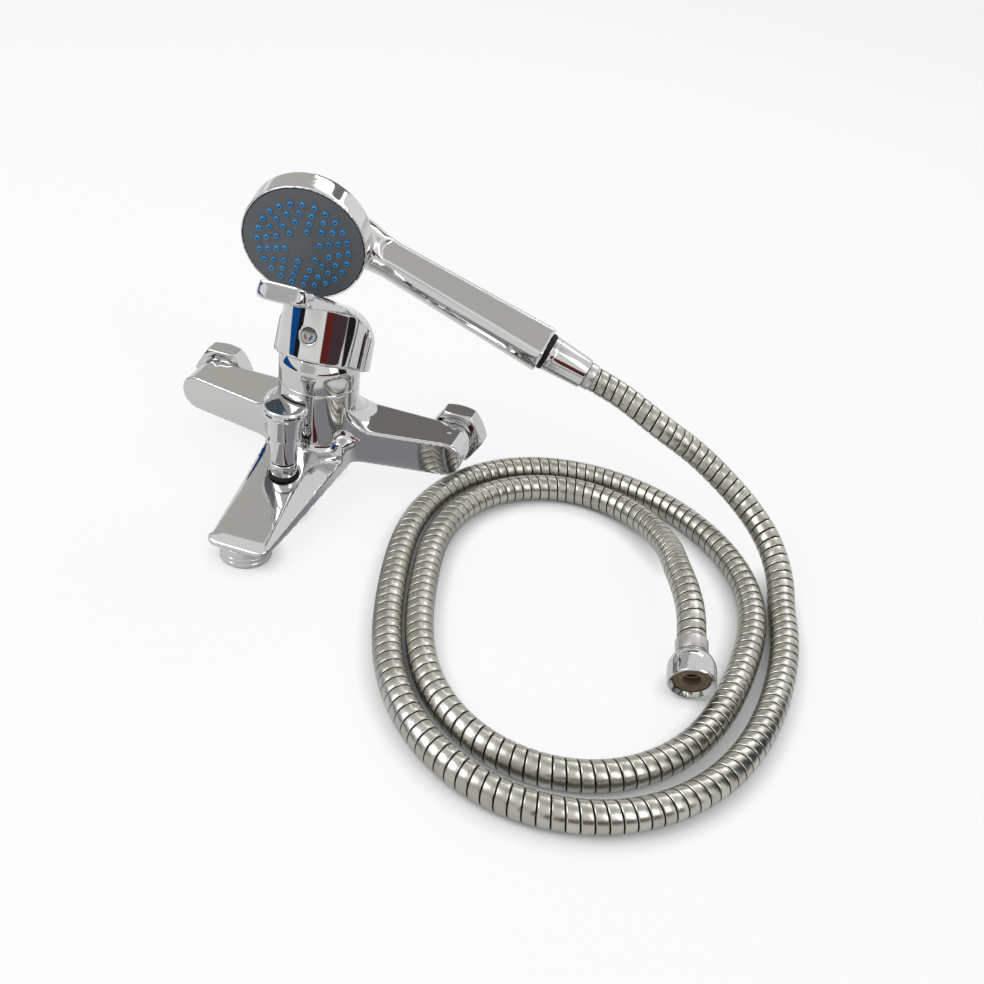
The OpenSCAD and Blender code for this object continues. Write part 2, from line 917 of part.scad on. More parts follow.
module cone_nut() {
  color("silver")
    handle_axis(cone_start)
      difference() {
        cylinder(h = cone_length, r1 = 10.6, r2 = 8.9);
        translate([0, 0, -1])
          cylinder(h = 9.7, r = 8.2 + still);
        cylinder(h = 60, r = 6.8 + running);
      }
}
module cone_ferrule() {
  color("lightgray")
    handle_axis(cone_start + 6.5)
      difference() {
        union() {
          cylinder(h = 1.7, r = 8.2);
          cylinder(h = hose_start - cone_start - 6.5, r = 6.8);
          translate([0, 0, cone_length - 6.2])
            cylinder(h = hose_start - cone_start - cone_length - 0.3, r = 7.9);
        }
        translate([0, 0, -1])
          cylinder(h = 60, r = bore_half);
      }
}
module hose(points, ways, outer, groove, inner, every) {
  n = len(points);
  m = (n - 1) / every + 1;
  far = (n - 1) * sides;
  inside = n * sides;
  bore = picked(points, every);
  turns = picked(ways, every);
  polyhedron(concat([for (i = [0 : n - 1]) each around(points[i], ways[i], outer - (i % 2) * groove)],
    [for (i = [0 : m - 1]) each around(bore[i], turns[i], inner)]),
    concat(skin(0, n, true), skin(inside, m, false), rim(0, inside, false), rim(far, inside + (m - 1) * sides, true)));
}
module hose_lead() {
  color("lightgray")
    hose(lead_route, lead_ways, hose_r, rib_depth, bore_half, 4);
}
module hose_coil() {
  color("lightgray")
    hose(coil_route, coil_ways, hose_r, rib_depth, bore_half, 4);
}
module hose_tail() {
  color("lightgray")
    hose(tail_route, tail_ways, hose_r, rib_depth, bore_half, 4);
}
module tube_lead() {
  color("gray")
    hose(picked(lead_route, 4), picked(lead_ways, 4), tube_r, 0, tube_r - 1, 1);
}
module tube_coil() {
  color("gray")
    hose(picked(coil_route, 4), picked(coil_ways, 4), tube_r, 0, tube_r - 1, 1);
}
module tube_tail() {
  color("gray")
    hose(picked(tail_route, 4), picked(tail_ways, 4), tube_r, 0, tube_r - 1, 1);
}
module end_axis(y) {
  translate(end_face)
    rotate(end_turn)
      translate([0, y, 0])
        rotate([-90, 0, 0])
          children();
}
module end_ferrule() {
  color("lightgray")
    end_axis(9.4)
      difference() {
        union() {
          cylinder(h = end_nut_length + 8 - 9.4, r = 7.6);
          translate([0, 0, end_nut_length + 0.3 - 9.4])
            cylinder(h = 7.7, r = 8.2);
        }
        translate([0, 0, -1])
          cylinder(h = 60, r = 6.2 + still);
      }
}
module end_nut() {
  color("silver")
    end_axis(0)
      difference() {
        rotate_extrude()
          polygon([[0, 0], [end_nut_r - 0.6, 0], [end_nut_r, 0.8], [end_nut_r, end_nut_length - 6], [end_nut_r - 0.9, end_nut_length - 3],
            [end_nut_r - 2.6, end_nut_length - 0.8], [end_nut_r - 3.6, end_nut_length], [0, end_nut_length]]);
        translate([0, 0, -1])
          cylinder(h = 10.2, r = 9.3);
        translate([0, 0, 5])
          cylinder(h = 4.2, r = 9.6);
        cylinder(h = 60, r = 7.6 + running);
      }
}
module end_insert() {
  color("goldenrod")
    end_axis(7)
      difference() {
        union() {
          cylinder(h = 2, r = 9);
          cylinder(h = end_nut_length + 8 - 7, r = 6.2);
        }
        translate([0, 0, -1])
          cylinder(h = 60, r = 4);
      }
}
module end_washer() {
  color("saddlebrown")
    end_axis(5)
      ring(9, 4.6, 2);
}

mixer_body();
inlet_tail_left();
inlet_tail_right();
union_nut_left();
union_nut_right();
inlet_washer_left();
inlet_washer_right();
dress_cap();
cartridge_nut();
cartridge_housing();
cartridge_base();
cartridge_seal();
fixed_disc();
moving_disc();
swivel_carrier();
pivot_pin();
lever_spindle();
lever_handle();
grub_screw();
indicator_plug();
diverter_knob();
diverter_stem();
diverter_bush();
diverter_seal();
diverter_valve();
aerator_housing();
aerator_insert();
aerator_washer();
outlet_nipple();
handset_shell();
face_plate();
nozzle_mat();
water_guide();
handset_ring();
handset_washer();
cone_nut();
cone_ferrule();
hose_lead();
hose_coil();
hose_tail();
tube_lead();
tube_coil();
tube_tail();
end_ferrule();
end_nut();
end_insert();
end_washer();
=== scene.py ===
import json
import math

import bmesh
import bpy
from mathutils import Euler, Matrix, Vector
from mathutils.geometry import intersect_point_line

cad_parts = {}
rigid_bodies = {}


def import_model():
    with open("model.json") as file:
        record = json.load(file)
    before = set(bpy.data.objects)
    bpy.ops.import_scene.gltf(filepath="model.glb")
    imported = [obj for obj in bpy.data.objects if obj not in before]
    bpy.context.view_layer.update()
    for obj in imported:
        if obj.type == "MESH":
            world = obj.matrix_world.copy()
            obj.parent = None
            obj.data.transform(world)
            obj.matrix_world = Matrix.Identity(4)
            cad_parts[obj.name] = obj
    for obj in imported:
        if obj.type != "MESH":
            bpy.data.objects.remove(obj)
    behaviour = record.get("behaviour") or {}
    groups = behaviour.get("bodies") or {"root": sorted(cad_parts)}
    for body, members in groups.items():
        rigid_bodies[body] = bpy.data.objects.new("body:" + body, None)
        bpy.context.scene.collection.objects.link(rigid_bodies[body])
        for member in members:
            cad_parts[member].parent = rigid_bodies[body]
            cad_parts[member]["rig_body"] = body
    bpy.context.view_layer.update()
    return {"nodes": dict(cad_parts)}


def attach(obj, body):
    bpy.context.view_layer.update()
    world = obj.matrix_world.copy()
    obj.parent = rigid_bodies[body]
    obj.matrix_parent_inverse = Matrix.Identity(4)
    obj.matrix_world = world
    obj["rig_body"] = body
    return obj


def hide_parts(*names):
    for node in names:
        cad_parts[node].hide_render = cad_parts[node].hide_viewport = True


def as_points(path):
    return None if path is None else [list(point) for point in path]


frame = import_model()
mm = 0.001
scene = bpy.context.scene
scene.view_settings.view_transform = "Standard"


# camera at the photograph's place
cameraSetting = {"place": (0.21057, -0.5146, 0.37982), "heading": 11.3, "pitch": 34.71, "roll": 8.88,
                 "focalPixels": 1123.18, "framePixels": 984, "sensorWidth": 36, "clip": (0.01, 20)}


def placeCamera(s):
    heading, pitch, roll = (math.radians(s[k]) for k in ("heading", "pitch", "roll"))
    forward = Vector((-math.sin(heading) * math.cos(pitch), math.cos(heading) * math.cos(pitch), -math.sin(pitch)))
    right = Vector((math.cos(heading), math.sin(heading), 0))
    down = forward.cross(right)
    across = right * math.cos(roll) - down * math.sin(roll)
    below = right * math.sin(roll) + down * math.cos(roll)
    lens = bpy.data.cameras.new("camera")
    lens.sensor_fit = "HORIZONTAL"
    lens.sensor_width = s["sensorWidth"]
    lens.lens = s["sensorWidth"] * s["focalPixels"] / s["framePixels"]
    lens.clip_start, lens.clip_end = s["clip"]
    camera = bpy.data.objects.new("camera", lens)
    camera.matrix_world = Matrix.Translation(s["place"]) @ Matrix((across, -below, -forward)).transposed().to_4x4()
    scene.collection.objects.link(camera)
    scene.camera = camera


placeCamera(cameraSetting)


# places of the pieces that don't stand square, in millimetres and degrees as the solids have them
handset = {"place": (-23.6, 44.3, 135), "turn": (7.3, 19.5, 2.4), "tilt": 9.5, "drop": 30.15,
           "handleLength": 147.5, "coneStart": 150, "coneLength": 24.3, "ferruleStart": 6.5,
           "hoseStart": 179.3}
hoseEnd = {"face": (239, -104.5, 12.6), "turn": (12, 0, 11), "nutLength": 17, "ferruleReach": 8}


def turnBy(degrees):
    return Euler([math.radians(a) for a in degrees], "XYZ").to_matrix().to_4x4()


def handsetAt(x=0, y=0, z=0, turn=(0, 0, 0)):
    return Matrix.Translation(handset["place"]) @ turnBy(handset["turn"]) @ Matrix.Translation((x, y, z)) @ turnBy(turn)


def handleAt(x):
    return handsetAt(x, turn=(0, 90, 0))


def headAt():
    tilt = math.radians(handset["tilt"])
    return handsetAt(handset["drop"] * math.sin(tilt), -handset["drop"] * math.cos(tilt), 0, (90, 0, handset["tilt"]))


def hoseEndAt(y):
    nut = Matrix.Translation(hoseEnd["face"]) @ turnBy(hoseEnd["turn"])
    return nut @ Matrix.Translation((0, y, 0)) @ turnBy((-90, 0, 0))


def uprightAt(x, y):
    return Matrix.Translation((x, y, 0))


# the hose's route, in millimetres, from the handset's cone round the coil to the end nut
hoseRoute = {"diameter": 14.6, "coilCentre": (186, -60), "coilFirst": -20, "coilLast": 604, "coilSteps": 208,
             # radius of the first turn, and how much each turn draws in: a mean, then cosine and sine shares by wave
             "coilRadius": (121.5, ((1, -13.5, 5), (2, -14.5, 6), (3, 2, -4.5))),
             "coilDraw": (18.5, ((1, 1, 1.5), (2, -1.5, 2))),
             "lead": [(188.8, 48.5, 57.5), (215, 49.5, 44), (244, 40.5, 28.5), (263.5, 23.5, 18), (274.2, 0, 10.5)],
             "tail": [(161, 36.2, 7.5), (181.6, 29.6, 8.5), (198.8, 15.9, 10.7), (211.5, -4.4, 14.9), (218, -26, 20),
                      (225.6, -46, 21.6)],
             "leadPull": 60, "tailPull": 40, "curveSteps": 12, "spacing": 1.0, "evenings": 60, "straight": 14}


def waveSum(mean, waves, t):
    return mean + sum(c * math.cos(math.radians(k * t)) + d * math.sin(math.radians(k * t)) for k, c, d in waves)


def coilPoint(s, t):
    r = waveSum(*s["coilRadius"], t) - t / 360 * waveSum(*s["coilDraw"], t)
    x, y = s["coilCentre"]
    return Vector((x + r * math.cos(math.radians(t)), y - r * math.sin(math.radians(t)), s["diameter"] / 2))


def coilWay(s, t):
    return (coilPoint(s, t + 0.5) - coilPoint(s, t - 0.5)).normalized()


def curveThrough(points, steps):
    made = []
    for p, q, r, e in zip(points, points[1:], points[2:], points[3:]):
        for k in range(steps):
            t = k / steps
            bend = (2 * p - 5 * q + 4 * r - e) * t * t + (3 * q - p - 3 * r + e) * t ** 3
            made.append(0.5 * (2 * q + (r - p) * t + bend))
    return made + [points[-2]]


def evenly(points, spacing):
    lengths = [0.0]
    for a, b in zip(points, points[1:]):
        lengths.append(lengths[-1] + (b - a).length)
    count = round(lengths[-1] / spacing)
    made, i = [], 0
    for k in range(count + 1):
        want = lengths[-1] * k / count
        while i < len(points) - 2 and lengths[i + 1] < want:
            i += 1
        made.append(points[i].lerp(points[i + 1], (want - lengths[i]) / (lengths[i + 1] - lengths[i])))
    return made


def layHose(s):
    d, steps, fixed = s["diameter"], s["curveSteps"], s["straight"]
    handWay = handsetAt().to_3x3() @ Vector((1, 0, 0))
    endWay = hoseEndAt(0).to_3x3() @ Vector((0, 0, -1))
    start, leadBend = (handsetAt(handset["hoseStart"] + k).translation for k in (0, d))
    stop, tailBend = (hoseEndAt(hoseEnd["nutLength"] + hoseEnd["ferruleReach"] + k).translation for k in (0, d))
    lead, tail = [Vector(p) for p in s["lead"]], [Vector(p) for p in s["tail"]]
    first, last = s["coilFirst"], s["coilLast"]
    route = [start] + curveThrough([lead[0] - s["leadPull"] * handWay, leadBend, *lead, coilPoint(s, first),
                                    lead[-1] + s["leadPull"] * coilWay(s, first)], steps)
    route += [coilPoint(s, first + (last - first) * i / s["coilSteps"]) for i in range(1, s["coilSteps"])]
    route += curveThrough([tail[0] - s["tailPull"] * coilWay(s, last), coilPoint(s, last), *tail, tailBend,
                           tail[-1] + s["tailPull"] * endWay], steps)
    route = evenly(route + [stop], s["spacing"])
    for _ in range(s["evenings"]):       # evens out the bends, and leaves both ends straight
        inner = [(a + 2 * b + c) / 4 for a, b, c in zip(route[fixed - 1:], route[fixed:-fixed], route[fixed + 1:])]
        route = route[:fixed] + inner + route[-fixed:]
    return evenly(route, s["spacing"])


route = layHose(hoseRoute)
hoseLength = sum((b - a).length for a, b in zip(route, route[1:]))
print("hose route:", len(route), "points,", round(hoseLength, 1), "mm")


# finishes
class Wire:
    def __init__(self, nodes, socket):
        self.nodes, self.socket = nodes, socket

    def math(self, operation, first, second=0.0):
        return self.nodes.add("ShaderNodeMath", {"operation": operation}, {0: first, 1: second})

    def __add__(self, other):
        return self.math("ADD", self, other)

    def __radd__(self, other):
        return self.math("ADD", other, self)

    def __sub__(self, other):
        return self.math("SUBTRACT", self, other)

    def __rsub__(self, other):
        return self.math("SUBTRACT", other, self)

    def __mul__(self, other):
        return self.math("MULTIPLY", self, other)

    def __rmul__(self, other):
        return self.math("MULTIPLY", other, self)

    def __pow__(self, other):
        return self.math("POWER", self, other)

    def __abs__(self):
        return self.math("ABSOLUTE", self)

    def root(self):
        return self.math("SQRT", self)

    def atMost(self, limit):
        return self.math("MINIMUM", self, limit)


class Nodes:
    def __init__(self, tree):
        self.tree = tree

    def plug(self, value, socket):
        if isinstance(value, Wire):
            self.tree.links.new(value.socket, socket)
        else:
            socket.default_value = value

    def add(self, kind, settings, inputs, out=0):
        node = self.tree.nodes.new(kind)
        for key, value in settings.items():
            setattr(node, key, value)
        for key, value in inputs.items():
            self.plug(value, node.inputs[key])
        return Wire(self, node.outputs[out])


class Finish(Nodes):
    def __init__(self, name, **constants):
        self.material = bpy.data.materials.new(name)
        self.material.use_nodes = True
        super().__init__(self.material.node_tree)
        self.shader = self.tree.nodes["Principled BSDF"]
        for key, value in constants.items():
            self.shader.inputs[key].default_value = value
        self.place = self.add("ShaderNodeTexCoord", {}, {}, "Object")

    def noise(self, scale, detail=2.0, place=None):
        inputs = {"Vector": place or self.place, "Scale": scale, "Detail": detail}
        return self.add("ShaderNodeTexNoise", {}, inputs, "Fac")

    def stretched(self, scale):
        return self.add("ShaderNodeMapping", {}, {"Vector": self.place, "Scale": scale})

    def split(self, out, place=None):
        return self.add("ShaderNodeSeparateXYZ", {}, {0: place or self.place}, out)

    def step(self, value, low, high):
        return self.add("ShaderNodeMapRange", {"interpolation_type": "SMOOTHSTEP"},
                        {"Value": value, "From Min": low, "From Max": high})

    def mix(self, share, a, b):
        return self.add("ShaderNodeMix", {"data_type": "RGBA"}, {0: share, 6: a, 7: b}, 2)

    def bump(self, height, strength, distance):
        return self.add("ShaderNodeBump", {}, {"Height": height, "Strength": strength, "Distance": distance})

    def surface(self, shader):
        self.plug(shader, self.tree.nodes["Material Output"].inputs["Surface"])
        return self.material

    def paint(self, **sockets):
        for key, value in sockets.items():
            self.plug(value, self.shader.inputs[key.replace("_", " ")])
        return self.material


def colour(r, g, b):
    return (r, g, b, 1)


def chromeFinish(name, tone, haze, wave):
    f = Finish(name, Metallic=1.0)
    soft = f.noise(38, 1.5)
    spots = f.step(f.noise(620, 3), 0.62, 0.75)
    film = f.step(f.noise(14, 3), 0.35, 0.8)
    warm = colour(tone * 1.01, tone, tone * 0.985)
    cool = colour(tone * 0.955, tone * 0.965, tone * 0.985)
    tint = f.mix(film, warm, cool)
    return f.paint(Base_Color=tint, Roughness=haze + 0.035 * film + 0.05 * spots,
                   Normal=f.bump(soft, wave, 0.0012))


def metalFinish(name, dark, pale, rough, grain):
    f = Finish(name, Metallic=1.0)
    turned = f.noise(1.0, 4, f.stretched((160, 160, 2600)))
    cloud = f.noise(60, 3)
    return f.paint(Base_Color=f.mix(cloud, dark, pale), Roughness=rough + 0.16 * turned,
                   Normal=f.bump(turned, grain, 0.0002))


def mouldedFinish(name, dark, pale, rough, grain, scale=1400, shine=0.5):
    f = Finish(name, **{"Specular IOR Level": shine})
    pits = f.noise(scale, 3)
    cloud = f.noise(90, 3)
    return f.paint(Base_Color=f.mix(f.step(cloud, 0.3, 0.7), dark, pale), Roughness=rough + 0.14 * pits,
                   Normal=f.bump(pits, grain, 0.0003))


def hoseFinish():
    f = Finish("hoseSteel", Metallic=1.0)
    seam = f.add("ShaderNodeAttribute", {"attribute_name": "seam"}, {}, "Fac")
    around = f.add("ShaderNodeAttribute", {"attribute_name": "along"}, {}, "Fac")
    # painted shade: the grooves between the ribs are coloured near black and made rougher, standing in for the shade
    # that falls in them
    paintedGrooveShade = f.step(seam, 0.18, 0.55)
    cloud = f.noise(55, 4)
    streak = f.noise(900, 2)
    rib = f.noise(1.0, 0, f.add("ShaderNodeCombineXYZ", {}, {"X": around}))
    pale = f.mix(f.step(rib, 0.3, 0.7), colour(0.43, 0.425, 0.38), colour(0.52, 0.515, 0.465))
    steel = f.mix(f.step(cloud, 0.3, 0.75), pale, colour(0.39, 0.38, 0.335))
    return f.paint(Base_Color=f.mix(paintedGrooveShade, steel, colour(0.02, 0.018, 0.016)),
                   Roughness=0.2 + 0.1 * cloud + 0.08 * streak + 0.3 * paintedGrooveShade,
                   Normal=f.bump(streak, 0.06, 0.0003))


def faceFinish():
    f = Finish("faceGrey", IOR=1.46)
    grain = f.noise(2600, 2)
    cloud = f.noise(70, 3)
    return f.paint(Base_Color=f.mix(cloud, colour(0.082, 0.098, 0.110), colour(0.108, 0.124, 0.136)),
                   Roughness=0.34 + 0.16 * grain, Normal=f.bump(grain, 0.12, 0.0002))


# sizes of the marks in millimetres; a pair is where a soft border starts and ends
indicatorPlug = {"height": 95.3, "inner": (1.0, 1.3), "outer": (2.3, 2.7), "marksBelow": (0, 1.1),
                 "apart": (0.283, 0.632), "shadeFrom": (0.4, 2.6), "swap": 0.1}


def indicatorFinish(s):
    f = Finish("indicatorHotCold", IOR=1.49)
    x, z = f.split("X"), f.split("Z") - s["height"] * mm
    cloud = f.noise(400, 2)

    def border(value, key):
        low, high = s[key]
        return f.step(value, low * mm, high * mm)

    out = (x * x + z * z).root()
    near, far = (edge * mm for edge in s["apart"])
    ring = border(out, "inner") * (1 - border(out, "outer"))
    marked = ring * (1 - border(z, "marksBelow")) * f.step(x * x, near ** 2, far ** 2)
    hotCold = f.mix(f.step(x, -s["swap"] * mm, s["swap"] * mm), colour(0.36, 0.05, 0.03), colour(0.02, 0.09, 0.28))
    # painted shade: the plug goes from pale grey to near black towards its top, under the hot and cold marks
    paintedShadeTop = f.mix(border(z, "shadeFrom"), colour(0.46, 0.46, 0.45), colour(0.10, 0.10, 0.10))
    return f.paint(Base_Color=f.mix(marked * 0.9, paintedShadeTop, hotCold), Roughness=0.16 + 0.12 * cloud,
                   Normal=f.bump(cloud, 0.05, 0.0002))


finishes = {
    "bodyChrome": chromeFinish("bodyChrome", 0.58, 0.045, 0.16),
    "leverChrome": chromeFinish("leverChrome", 0.60, 0.03, 0.10),
    "knobChrome": chromeFinish("knobChrome", 0.60, 0.03, 0.06),
    "nutChrome": chromeFinish("nutChrome", 0.56, 0.06, 0.10),
    "handsetChrome": chromeFinish("handsetChrome", 0.62, 0.04, 0.08),
    "brass": metalFinish("brass", colour(0.52, 0.33, 0.11), colour(0.66, 0.46, 0.19), 0.2, 0.25),
    "steel": metalFinish("steel", colour(0.44, 0.43, 0.41), colour(0.58, 0.57, 0.55), 0.22, 0.2),
    "hoseSteel": hoseFinish(),
    "cartridgePlastic": mouldedFinish("cartridgePlastic", colour(0.62, 0.62, 0.58), colour(0.74, 0.74, 0.70), 0.35, 0.1),
    "discCeramic": mouldedFinish("discCeramic", colour(0.72, 0.70, 0.64), colour(0.80, 0.79, 0.74), 0.12, 0.04),
    "sealBlack": mouldedFinish("sealBlack", colour(0.006, 0.006, 0.006), colour(0.016, 0.016, 0.016), 0.5, 0.2, shine=0.15),
    "endFibre": mouldedFinish("endFibre", colour(0.13, 0.09, 0.06), colour(0.23, 0.175, 0.12), 0.6, 0.4, 2200),
    "indicator": indicatorFinish(indicatorPlug),
    "faceGrey": faceFinish(),
    "nozzleBlue": mouldedFinish("nozzleBlue", colour(0.015, 0.19, 0.46), colour(0.03, 0.27, 0.58), 0.28, 0.08),
}
print("finishes:", len(finishes))


# making and placing pieces
def addPiece(name, mesh, body, finish, slot, nodes, sharp=40):
    for polygon in mesh.polygons:
        polygon.use_smooth = True
    mesh.set_sharp_from_angle(angle=math.radians(sharp))
    mesh.materials.clear()
    mesh.materials.append(finishes[finish])
    piece = bpy.data.objects.new(name, mesh)
    scene.collection.objects.link(piece)
    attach(piece, body)
    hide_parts(*nodes)
    return piece


def meshOf(bm, name):
    mesh = bpy.data.meshes.new(name)
    bm.to_mesh(mesh)
    bm.free()
    return mesh


def wearEdge(mesh, s):
    a, b = Vector(s["from"]) * mm, Vector(s["to"]) * mm
    past = 0.02                          # share of the line that is worn past its ends
    bm = bmesh.new()
    bm.from_mesh(mesh)
    near = []
    for v in bm.verts:
        foot, share = intersect_point_line(v.co, a, b)
        if (v.co - foot).length < s["reach"] * mm and -past < share < 1 + past:
            near.append(v)
    for _ in range(s["rounds"]):
        bmesh.ops.smooth_vert(bm, verts=near, factor=0.5, use_axis_x=True, use_axis_y=True, use_axis_z=True)
    bm.to_mesh(mesh)
    bm.free()


def castMesh(s):
    bm = bmesh.new()
    bm.from_mesh(frame["nodes"][s["node"]].data)
    bmesh.ops.remove_doubles(bm, verts=bm.verts, dist=1e-6)
    rough = bpy.data.objects.new("casting", meshOf(bm, "casting"))
    scene.collection.objects.link(rough)
    voxels = rough.modifiers.new("voxels", "REMESH")
    voxels.mode, voxels.voxel_size = "VOXEL", s["voxel"] * mm
    even = rough.modifiers.new("even", "SMOOTH")
    even.factor, even.iterations = 0.5, s["softening"]
    mesh = bpy.data.meshes.new_from_object(rough.evaluated_get(bpy.context.evaluated_depsgraph_get()))
    bpy.data.objects.remove(rough)
    for edge in s["worn"]:
        wearEdge(mesh, edge)
    return mesh


def rounded(profile, steps=4):
    most = 0.48                          # share of an edge that one rounding may take
    made = []
    for i, point in enumerate(profile):
        if len(point) < 3:
            made.append(Vector(point))
            continue
        here = Vector(point[:2])
        back = Vector(profile[i - 1][:2]) - here
        on = Vector(profile[(i + 1) % len(profile)][:2]) - here
        half = back.angle(on) / 2
        reach = min(point[2] / math.tan(half), back.length * most, on.length * most)
        radius = reach * math.tan(half)
        middle = here + (back.normalized() + on.normalized()).normalized() * (radius / math.sin(half))
        a, b = here + back.normalized() * reach - middle, here + on.normalized() * reach - middle
        sweep = -a.angle_signed(b)
        made += [middle + Matrix.Rotation(sweep * k / steps, 2) @ a for k in range(steps + 1)]
    return made


def turnedMesh(name, profile, place, segments=96, closed=True):
    bm = bmesh.new()
    points = [bm.verts.new((p.x, 0, p.y)) for p in rounded(profile)]
    pairs = list(zip(points, points[1:])) + ([(points[-1], points[0])] if closed else [])
    edges = [bm.edges.new(pair) for pair in pairs]
    bmesh.ops.spin(bm, geom=points + edges, cent=(0, 0, 0), axis=(0, 0, 1), angle=math.tau, steps=segments, use_merge=True)
    bmesh.ops.remove_doubles(bm, verts=bm.verts, dist=1e-5)
    bmesh.ops.dissolve_degenerate(bm, edges=bm.edges, dist=1e-6)
    bmesh.ops.recalc_face_normals(bm, faces=bm.faces)
    bmesh.ops.transform(bm, matrix=Matrix.Scale(mm, 4) @ place, verts=bm.verts)
    return meshOf(bm, name)


# the hose: interlocked strip wound round the route
hoseStrip = {"ribPitch": 5.8, "groove": 0.75, "sides": 30,
             "tucked": 1, "tuckedRadius": 6.6,      # ribs hidden in the ferrule at each end
             # one rib as (share of the pitch, share of the groove's depth)
             "band": ((0, 0), (0.055, 0.25), (0.09, 0.8), (0.14, 0.95), (0.5, 0.99), (0.86, 1), (0.93, 0.96),
                      (0.965, 0.45))}


def windHose(s, path):
    ribs = round(hoseLength / s["ribPitch"])
    pitch = hoseLength / ribs
    rows = (ribs + 2 * s["tucked"]) * len(s["band"])
    ways = [(path[min(i + 1, len(path) - 1)] - path[max(i - 1, 0)]).normalized() for i in range(len(path))]
    sides = [ways[0].cross(Vector((0, 0, 1))).normalized()]
    for a, b in zip(ways, ways[1:]):
        sides.append((a.rotation_difference(b) @ sides[-1]).normalized())
    spacing = hoseLength / (len(path) - 1)

    def along(distance):
        at = distance / spacing
        i = min(max(int(at), 0), len(path) - 2)
        t = at - i
        way = ways[i].lerp(ways[i + 1], min(max(t, 0), 1)).normalized()
        side = sides[i].lerp(sides[i + 1], min(max(t, 0), 1)).normalized()
        return path[i] + (path[i + 1] - path[i]) * t, side, way.cross(side)

    bm = bmesh.new()
    bmesh.ops.create_grid(bm, x_segments=rows, y_segments=s["sides"], size=1)
    seam = bm.verts.layers.float.new("seam")
    turn = bm.verts.layers.float.new("along")
    for v in bm.verts:
        i, k = round((v.co.x + 1) / 2 * rows), round((v.co.y + 1) / 2 * s["sides"])
        whole, part = divmod(i, len(s["band"]))
        phase, height = s["band"][part]
        share = whole + phase + k / s["sides"] - s["tucked"] - 0.5
        centre, side, up = along(share * pitch)
        angle = math.tau * k / s["sides"]
        radius = hoseRoute["diameter"] / 2 - s["groove"] * (1 - height)
        if not 0 <= share <= ribs:
            radius = min(radius, s["tuckedRadius"])
        v.co = (centre + radius * (math.cos(angle) * side + math.sin(angle) * up)) * mm
        v[seam] = 1 - height
        v[turn] = whole + k / s["sides"]
    bmesh.ops.remove_doubles(bm, verts=bm.verts, dist=2e-7)
    bmesh.ops.holes_fill(bm, edges=[e for e in bm.edges if e.is_boundary], sides=0)
    bmesh.ops.recalc_face_normals(bm, faces=bm.faces)
    return meshOf(bm, "hose")


hose = addPiece("hose", windHose(hoseStrip, route), "shower_set", "hoseSteel", "hose_steel",
                ["hose_lead", "hose_coil", "hose_tail", "tube_lead", "tube_coil", "tube_tail"], 70)
print("hose:", len(hose.data.polygons), "faces")


# cast and pressed shapes
castings = {
    "castBody": {"node": "mixer_body", "body": "mixer", "voxel": 0.8, "softening": 5, "finish": "bodyChrome",
                 "slot": "body_chrome",
                 "worn": [{"from": (-24.2, -12, 28.8), "to": (-17.3, -97, 14.6), "reach": 6, "rounds": 70},
                          {"from": (16, -17, 32), "to": (28, -15, 33), "reach": 7, "rounds": 60}]},
    "leverHood": {"node": "lever_handle", "body": "lever", "voxel": 0.55, "softening": 10, "finish": "leverChrome",
                  "slot": "lever_chrome",
                  "worn": [{"from": (side * 13.5, -55, 129), "to": (side * 12.6, -52.6, 138), "reach": 7, "rounds": 80}
                           for side in (1, -1)]},
    "handsetShell": {"node": "handset_shell", "body": "shower_set", "voxel": 0.7, "softening": 22,
                     "finish": "handsetChrome", "slot": "handset_chrome", "worn": []},
}
for side in ("Left", "Right"):
    castings["unionNut" + side] = {"node": "union_nut_" + side.lower(), "body": "inlet_nut_" + side.lower(), "voxel": 0.4,
                                   "softening": 2, "finish": "nutChrome", "slot": "nut_chrome", "worn": []}
for name, s in castings.items():
    piece = addPiece(name, castMesh(s), s["body"], s["finish"], s["slot"], [s["node"]], 60)
    print(name + ":", len(piece.data.polygons), "faces")


# turned shapes: each profile goes round its axis as (radius, height) or (radius, height, rounding)
def capArc(radius, centre, low, high, steps):
    heights = [low + (high - low) * k / steps for k in range(steps + 1)]
    return [(math.sqrt(radius ** 2 - (z - centre) ** 2), z) for z in heights]


faceShape = {"radius": 33.3, "crown": 1.2, "flatness": 640, "steps": 10}


def faceDome(out):
    return faceShape["crown"] - out ** 2 / faceShape["flatness"]


faceArc = [faceShape["radius"] * k / faceShape["steps"] for k in range(faceShape["steps"], -1, -1)]
dressCap = {"profile": [(20.5, 62), (22.7, 62, 0.2), *capArc(24.2, 66, 74.4, 79.9, 8), (19.3, 80), (14.6, 80, 0.4),
                        (14.6, 72), (20.5, 72)],
            "place": uprightAt(0, 0)}
diverterKnob = {"profile": [(0, 32.8), (7.3, 32.8, 0.5), (7.3, 47.1, 0.5), (7.9, 47.5, 0.4), (9.9, 61.2, 0.7),
                            (11.5, 62, 0.6), (12.1, 63.9, 0.8), (11.6, 65, 0.3), (11.9, 65.7, 0.5), (10.9, 67.1, 0.8),
                            (0, 67.3)],
                "place": uprightAt(0, -45)}
diverterBush = {"profile": [(2.6, 17), (5.6, 17), (5.6, 24.5), (7.3, 24.5, 0.5), (7.3, 31.8, 0.6), (2.6, 31.8)],
                "place": uprightAt(0, -45)}
diverterSeal = {"profile": [(5.9, 22.7), (8.2, 22.7), (8.2, 24.5, 0.8), (5.9, 24.5)], "place": uprightAt(0, -45)}
aeratorHousing = {"profile": [(10.4, 0, 0.5), (13.5, 0, 1.0), (13.5, 2.3, 0.1), (13.3, 2.5), (13.5, 2.7, 0.1),
                              (13.5, 5.1, 0.1), (13.3, 5.3), (13.5, 5.5, 0.1), (13.5, 10, 0.3), (11.9, 10), (11.9, 11.6),
                              (11, 11.6), (11, 2), (10.4, 2)],
                  "place": uprightAt(0, -90)}
facePlate = {"profile": [(0, -3), (faceShape["radius"], -3), *[(out, faceDome(out)) for out in faceArc]],
             "place": headAt()}
